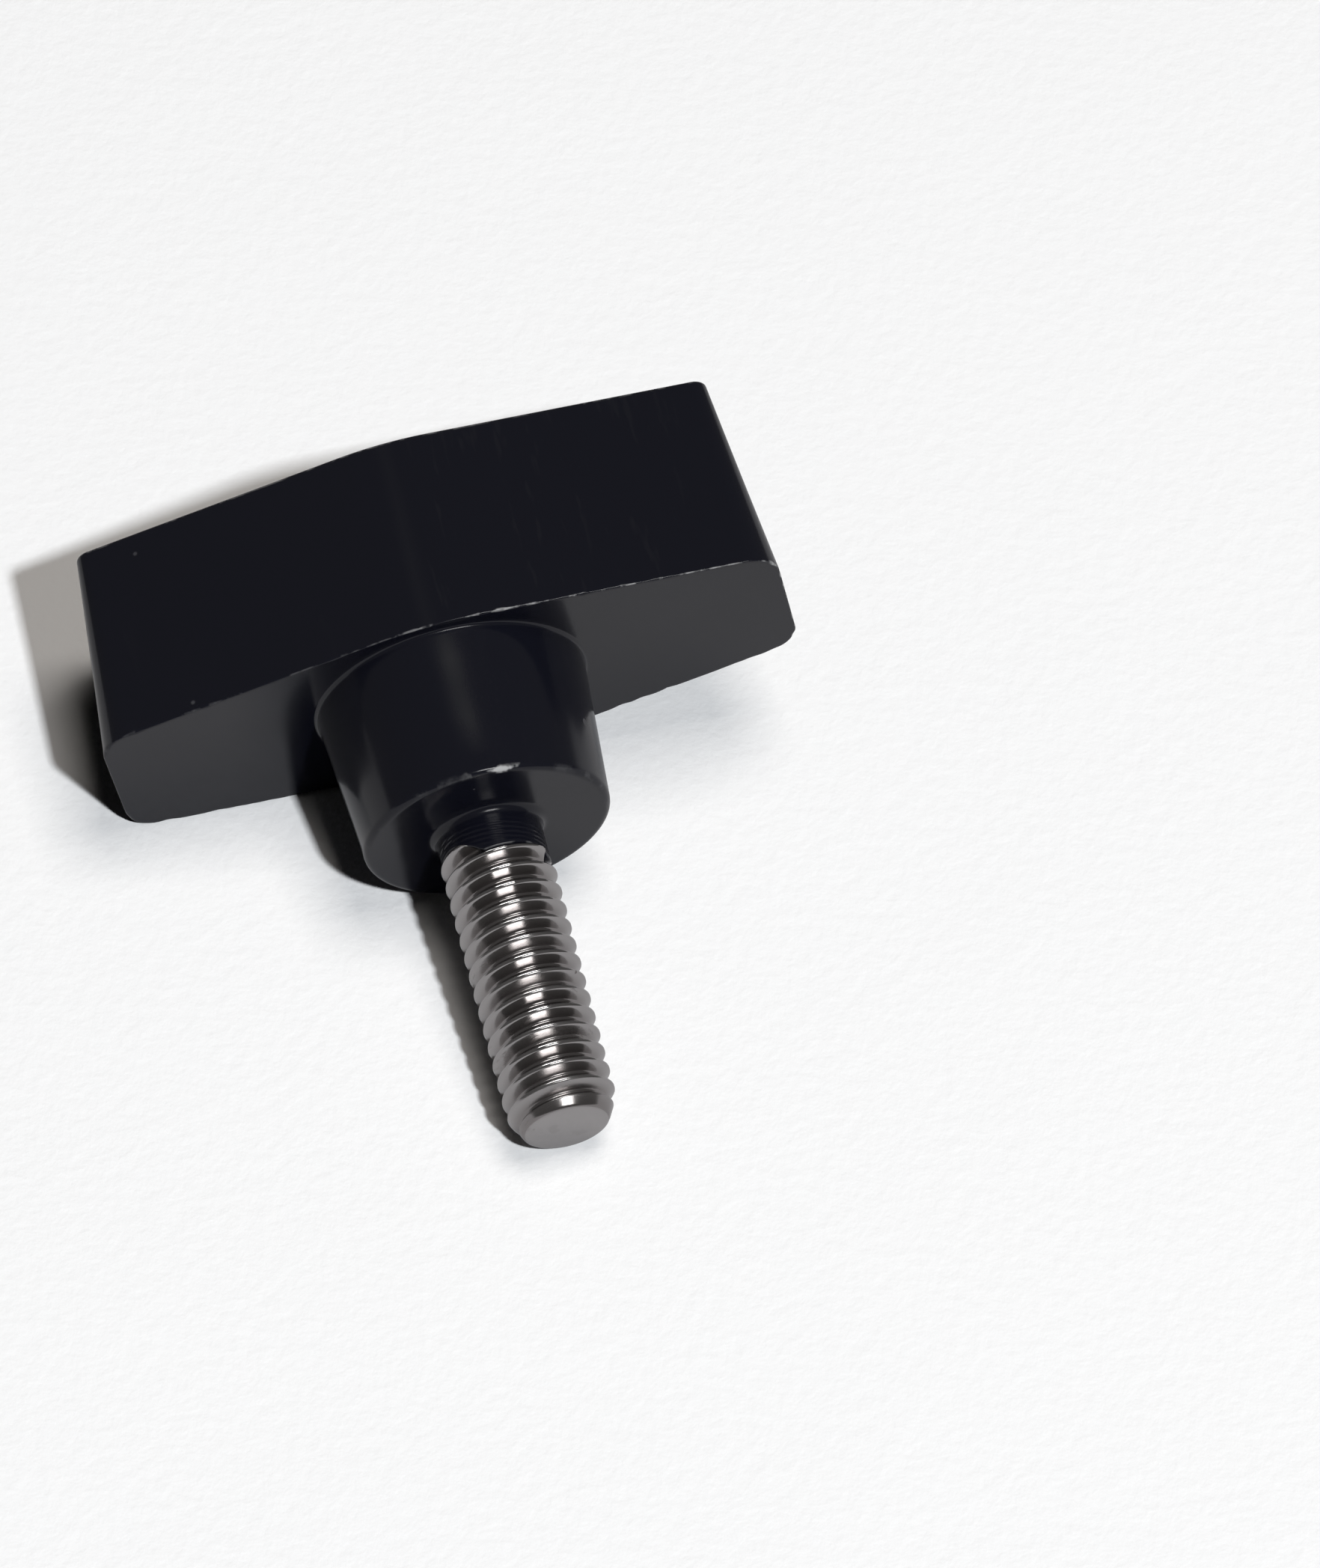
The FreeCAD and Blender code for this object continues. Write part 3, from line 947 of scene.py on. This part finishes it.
@dataclass
class ThreadedStud:
    """The steel stud: a rolled thread that runs out over a chamfered tip.

    Columns stand round the stud and rows count one turn's steps. The tip band is closed with
    level rings, and the stub is the end that stands in the collar's recess.
    """

    form: ThreadForm
    reach: float = -23.5
    tip_radius: float = 3.0
    tip_chamfer: float = 1.65
    tip_round: float = 0.2
    tip_blend: float = 30.0
    tip_margin: float = 0.1
    tip_step: float = 0.05
    tip_depth: float = 0.15
    cone_limit: float = 6.0
    columns: int = 120
    rows: int = 22
    tip_band: float = 1.7
    embedded: float = 0.05
    stub_mouth: float = 2.7
    stub_end: tuple[float, ...] = (2.3, 0.05)
    stub_level: float = -1.0

    def radius(self, angle: np.ndarray, level: np.ndarray) -> np.ndarray:
        """Give the stud's radius at an angle and a level, with the tip's chamfer taken off."""
        form = self.form
        thread = form.section(level - form.phase - form.pitch * angle / (2 * math.pi))
        up = level - self.reach
        cone = self.tip_radius + (form.crest - self.tip_radius) * up / self.tip_chamfer
        near = np.clip(1 - up / self.tip_round, 0.0, 1.0)
        rounding = self.tip_round * (1 - np.sqrt(1 - 0.98 * near**2))
        cone = np.minimum(cone - rounding, self.cone_limit)
        return -np.logaddexp(-self.tip_blend * thread, -self.tip_blend * cone) / self.tip_blend

    def skin(self) -> tuple[np.ndarray, Faces]:
        """Lay the grid along the thread and close both ends.

        Returns:
            The points in millimetres, and the faces.
        """
        form, count = self.form, self.columns
        turns = np.arange(count) / count
        angles = turns * 2 * math.pi
        low = self.reach + self.tip_band
        start = form.first_edge(angles) + self.embedded
        first = math.ceil((float(start.max()) - form.phase) / form.pitch) + 1
        last = math.floor((low - form.phase) / form.pitch) - 2
        levels = [n - k / self.rows for n in range(first, last, -1) for k in range(self.rows)]
        points, faces = [], []
        for level in levels:
            z = np.clip(form.phase + form.pitch * (level + turns), low, start)
            r = self.radius(angles, z)
            points += np.column_stack([r * np.cos(angles), r * np.sin(angles), z]).tolist()
        for row in range(len(levels) - 1):
            for col in range(count - 1):
                a, b = row * count + col, (row + 1) * count + col
                faces.append((a, a + 1, b + 1, b))
            if row >= self.rows:
                a, b = row * count + count - 1, (row + 1) * count + count - 1
                faces.append((a, (row - self.rows) * count, (row - self.rows + 1) * count, b))

        straight = np.arange(0, self.tip_band - self.tip_round, self.tip_step)
        rounding = self.tip_round * (1 - np.sin(np.linspace(0.0, math.pi / 2, 7)))
        drops = np.concatenate([straight, self.tip_band - rounding])
        rings = [(self.radius(angles, np.full(count, low - drop)), low - drop) for drop in drops]
        flat = self.tip_radius - self.tip_round - self.tip_margin
        rings += [(flat * share, self.reach) for share in (1.0, 0.66, 0.33, 0.02)]
        faces += self._close(points, rings, angles)
        stub = [(self.radius(angles, start), start), (self.stub_mouth, start)]
        stub += [(radius, self.stub_level) for radius in self.stub_end]
        faces += self._close(points, stub, angles)
        return np.array(points), faces

    def _close(
        self, points: list[list[float]], rings: list[tuple[Level, Level]], angles: np.ndarray
    ) -> Faces:
        """Add rings that end in a cap.

        Args:
            points: The points so far; the new ones are added to them.
            rings: Each ring's radii and level.
            angles: The angle of each column.

        Returns:
            The new faces.
        """
        begin, count = len(points), len(angles)
        for radii, level in rings:
            height = np.broadcast_to(level, angles.shape)
            points += np.column_stack([radii * np.cos(angles), radii * np.sin(angles), height]).tolist()
        faces = []
        for row in range(len(rings) - 1):
            faces += band(begin + row * count, count)
        faces.append(tuple(range(len(points) - count, len(points))))
        return faces

    def build(self, finish: bpy.types.Material) -> bpy.types.Object:
        """Build the stud.

        Args:
            finish: The steel.

        Returns:
            The finished piece.
        """
        points, faces = self.skin()
        form = self.form
        depth = (form.crest - np.hypot(points[:, 0], points[:, 1])) / (form.crest - form.root)
        depth[points[:, 2] < self.reach + self.tip_step] = self.tip_depth
        piece = write_mesh("rolled_stud", points, faces, {"thread_depth": depth})
        piece.data.materials.append(finish)
        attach(piece, "root")
        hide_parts("threaded_stud")
        return piece


# ---------------------------------------------------------------- the studio


@dataclass(frozen=True)
class Lamp:
    """A rectangular lamp that faces the knob; lengths are in metres."""

    name: str
    direction: Vector
    distance: float
    size: tuple[float, float]
    radiance: float
    tint: Colour
    shows: Shows

    def hang(self) -> bpy.types.Object:
        """Hang the lamp where it looks at the knob.

        Returns:
            The lamp.
        """
        width, height = self.size
        light = bpy.data.lights.new(self.name, "AREA")
        light.shape = "RECTANGLE"
        light.size, light.size_y = width, height
        light.energy = self.radiance * math.pi * width * height
        light.color = self.tint
        lamp = bpy.data.objects.new(self.name, light)
        towards = self.direction.normalized()
        lamp.location = towards * self.distance
        across = Vector((0, 0, 1)).cross(towards).normalized()
        axes = Matrix((across, towards.cross(across), towards)).transposed()
        lamp.rotation_mode = "QUATERNION"
        lamp.rotation_quaternion = axes.to_quaternion()
        lamp.visible_camera = False
        lamp.visible_glossy = self.shows is Shows.IN_REFLECTIONS
        lamp.visible_diffuse = self.shows is Shows.ON_SURFACES
        bpy.context.scene.collection.objects.link(lamp)
        return lamp


@dataclass
class Studio:
    """The tilted table that the knob lies on, its lamps and the camera."""

    table_up: tuple[float, float, float] = (0.1946, -0.9570, 0.2149)
    table_depth: float = -8.483
    table_half: float = 1600.0
    eye: tuple[float, float, float] = (24.8256, -801.9648, -407.9073)
    right: tuple[float, float, float] = (0.9626710, 0.1344642, -0.2349127)
    over: tuple[float, float, float] = (0.2703183, -0.4331024, 0.8598548)
    forward: tuple[float, float, float] = (-0.0138784, 0.8912585, 0.4532833)
    lens: float = 298.785
    sensor: float = 36.0
    key_from: tuple[float, float, float] = (0.30, -0.835, -0.46)
    glint_from: tuple[float, float, float] = (0.10, -0.787, 0.609)
    fill_lean: float = 0.2
    ceiling: float = 0.105
    backdrop: Colour = (0.93, 0.93, 0.925)
    clip: tuple[float, float] = (0.05, 10.0)

    def table(self, finish: bpy.types.Material) -> bpy.types.Object:
        """Lay the table under the knob's three points of rest."""
        up = Vector(self.table_up).normalized()
        side = Vector(self.right)
        side = (side - up * side.dot(up)).normalized()
        across = up.cross(side)
        middle = up * self.table_depth
        corners = [(-1, -1), (1, -1), (1, 1), (-1, 1)]
        reach = self.table_half
        points = [(middle + side * (a * reach) + across * (b * reach)) * MM for a, b in corners]
        mesh = bpy.data.meshes.new("table")
        mesh.from_pydata(points, [], [(0, 1, 2, 3)])
        floor = bpy.data.objects.new("table", mesh)
        floor.data.materials.append(finish)
        bpy.context.scene.collection.objects.link(floor)
        return floor

    def lamps(self) -> list[Lamp]:
        """List the lamps: two that light surfaces, and two that only glossy ones show."""
        above = Vector(self.table_up) + Vector(self.right) * self.fill_lean
        key_from, glint_from = Vector(self.key_from), Vector(self.glint_from)
        lights = {"shows": Shows.ON_SURFACES}
        seen = {"shows": Shows.IN_REFLECTIONS, "tint": WHITE}
        return [
            Lamp("fill", above, distance=3.2, size=(1.4, 1.4), radiance=6.85, tint=WARM, **lights),
            Lamp("key", key_from, distance=3.6, size=(0.17, 0.17), radiance=1270.0, tint=COOL, **lights),
            Lamp("softbox", key_from, distance=3.6, size=(1.32, 0.84), radiance=8.5, **seen),
            Lamp("glint", glint_from, distance=1.8, size=(1.05, 0.41), radiance=9.0, **seen),
        ]

    def light(self, stud: bpy.types.Object) -> None:
        """Hang the lamps and set the room's tone.

        Args:
            stud: The steel stud, which has the glint lamp to itself.
        """
        hung = {lamp.name: lamp.hang() for lamp in self.lamps()}
        lit = bpy.data.collections.new("lit_by_glint")
        lit.objects.link(stud)
        hung["glint"].light_linking.receiver_collection = lit
        world = bpy.data.worlds.new("room")
        bpy.context.scene.world = world
        world.use_nodes = True
        world.node_tree.nodes.clear()
        board = Board(world.node_tree)
        seen = board.add("ShaderNodeLightPath").outputs["Is Camera Ray"]
        dim = (self.ceiling, self.ceiling * 0.98, self.ceiling * 0.97, 1.0)
        tone = board.mix(seen, dim, (*self.backdrop, 1.0))
        room = board.add("ShaderNodeBackground", {"Color": tone})
        board.add("ShaderNodeOutputWorld", {"Surface": room.outputs[0]})
        world.cycles_visibility.diffuse = False

    def camera(self) -> None:
        """Place the camera and make it the scene's."""
        data = bpy.data.cameras.new("camera")
        data.sensor_width, data.lens = self.sensor, self.lens
        data.clip_start, data.clip_end = self.clip
        camera = bpy.data.objects.new("camera", data)
        back = -Vector(self.forward)
        turn = Matrix((Vector(self.right), Vector(self.over), back)).transposed()
        camera.rotation_mode = "QUATERNION"
        camera.rotation_quaternion = turn.to_quaternion()
        camera.location = Vector(self.eye) * MM
        bpy.context.scene.collection.objects.link(camera)
        bpy.context.scene.camera = camera
        bpy.context.scene.view_settings.view_transform = "Standard"


def main() -> None:
    """Build every piece and the studio."""
    logging.basicConfig(level=logging.INFO, format="%(name)s: %(message)s")
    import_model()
    effects = Effects()
    effects.build()
    plastic = MouldedBlack().dress(effects)
    steel = RolledSteel().dress(effects)
    form = ThreadForm()
    knob, stud = MouldedKnob(form).build(plastic), ThreadedStud(form).build(steel)
    for piece in (knob, stud):
        LOG.info("%s: %d faces", piece.name, len(piece.data.polygons))
    studio = Studio()
    studio.table(PaleTable().dress(effects))
    studio.light(stud)
    studio.camera()


if __name__ == "__main__":
    main()
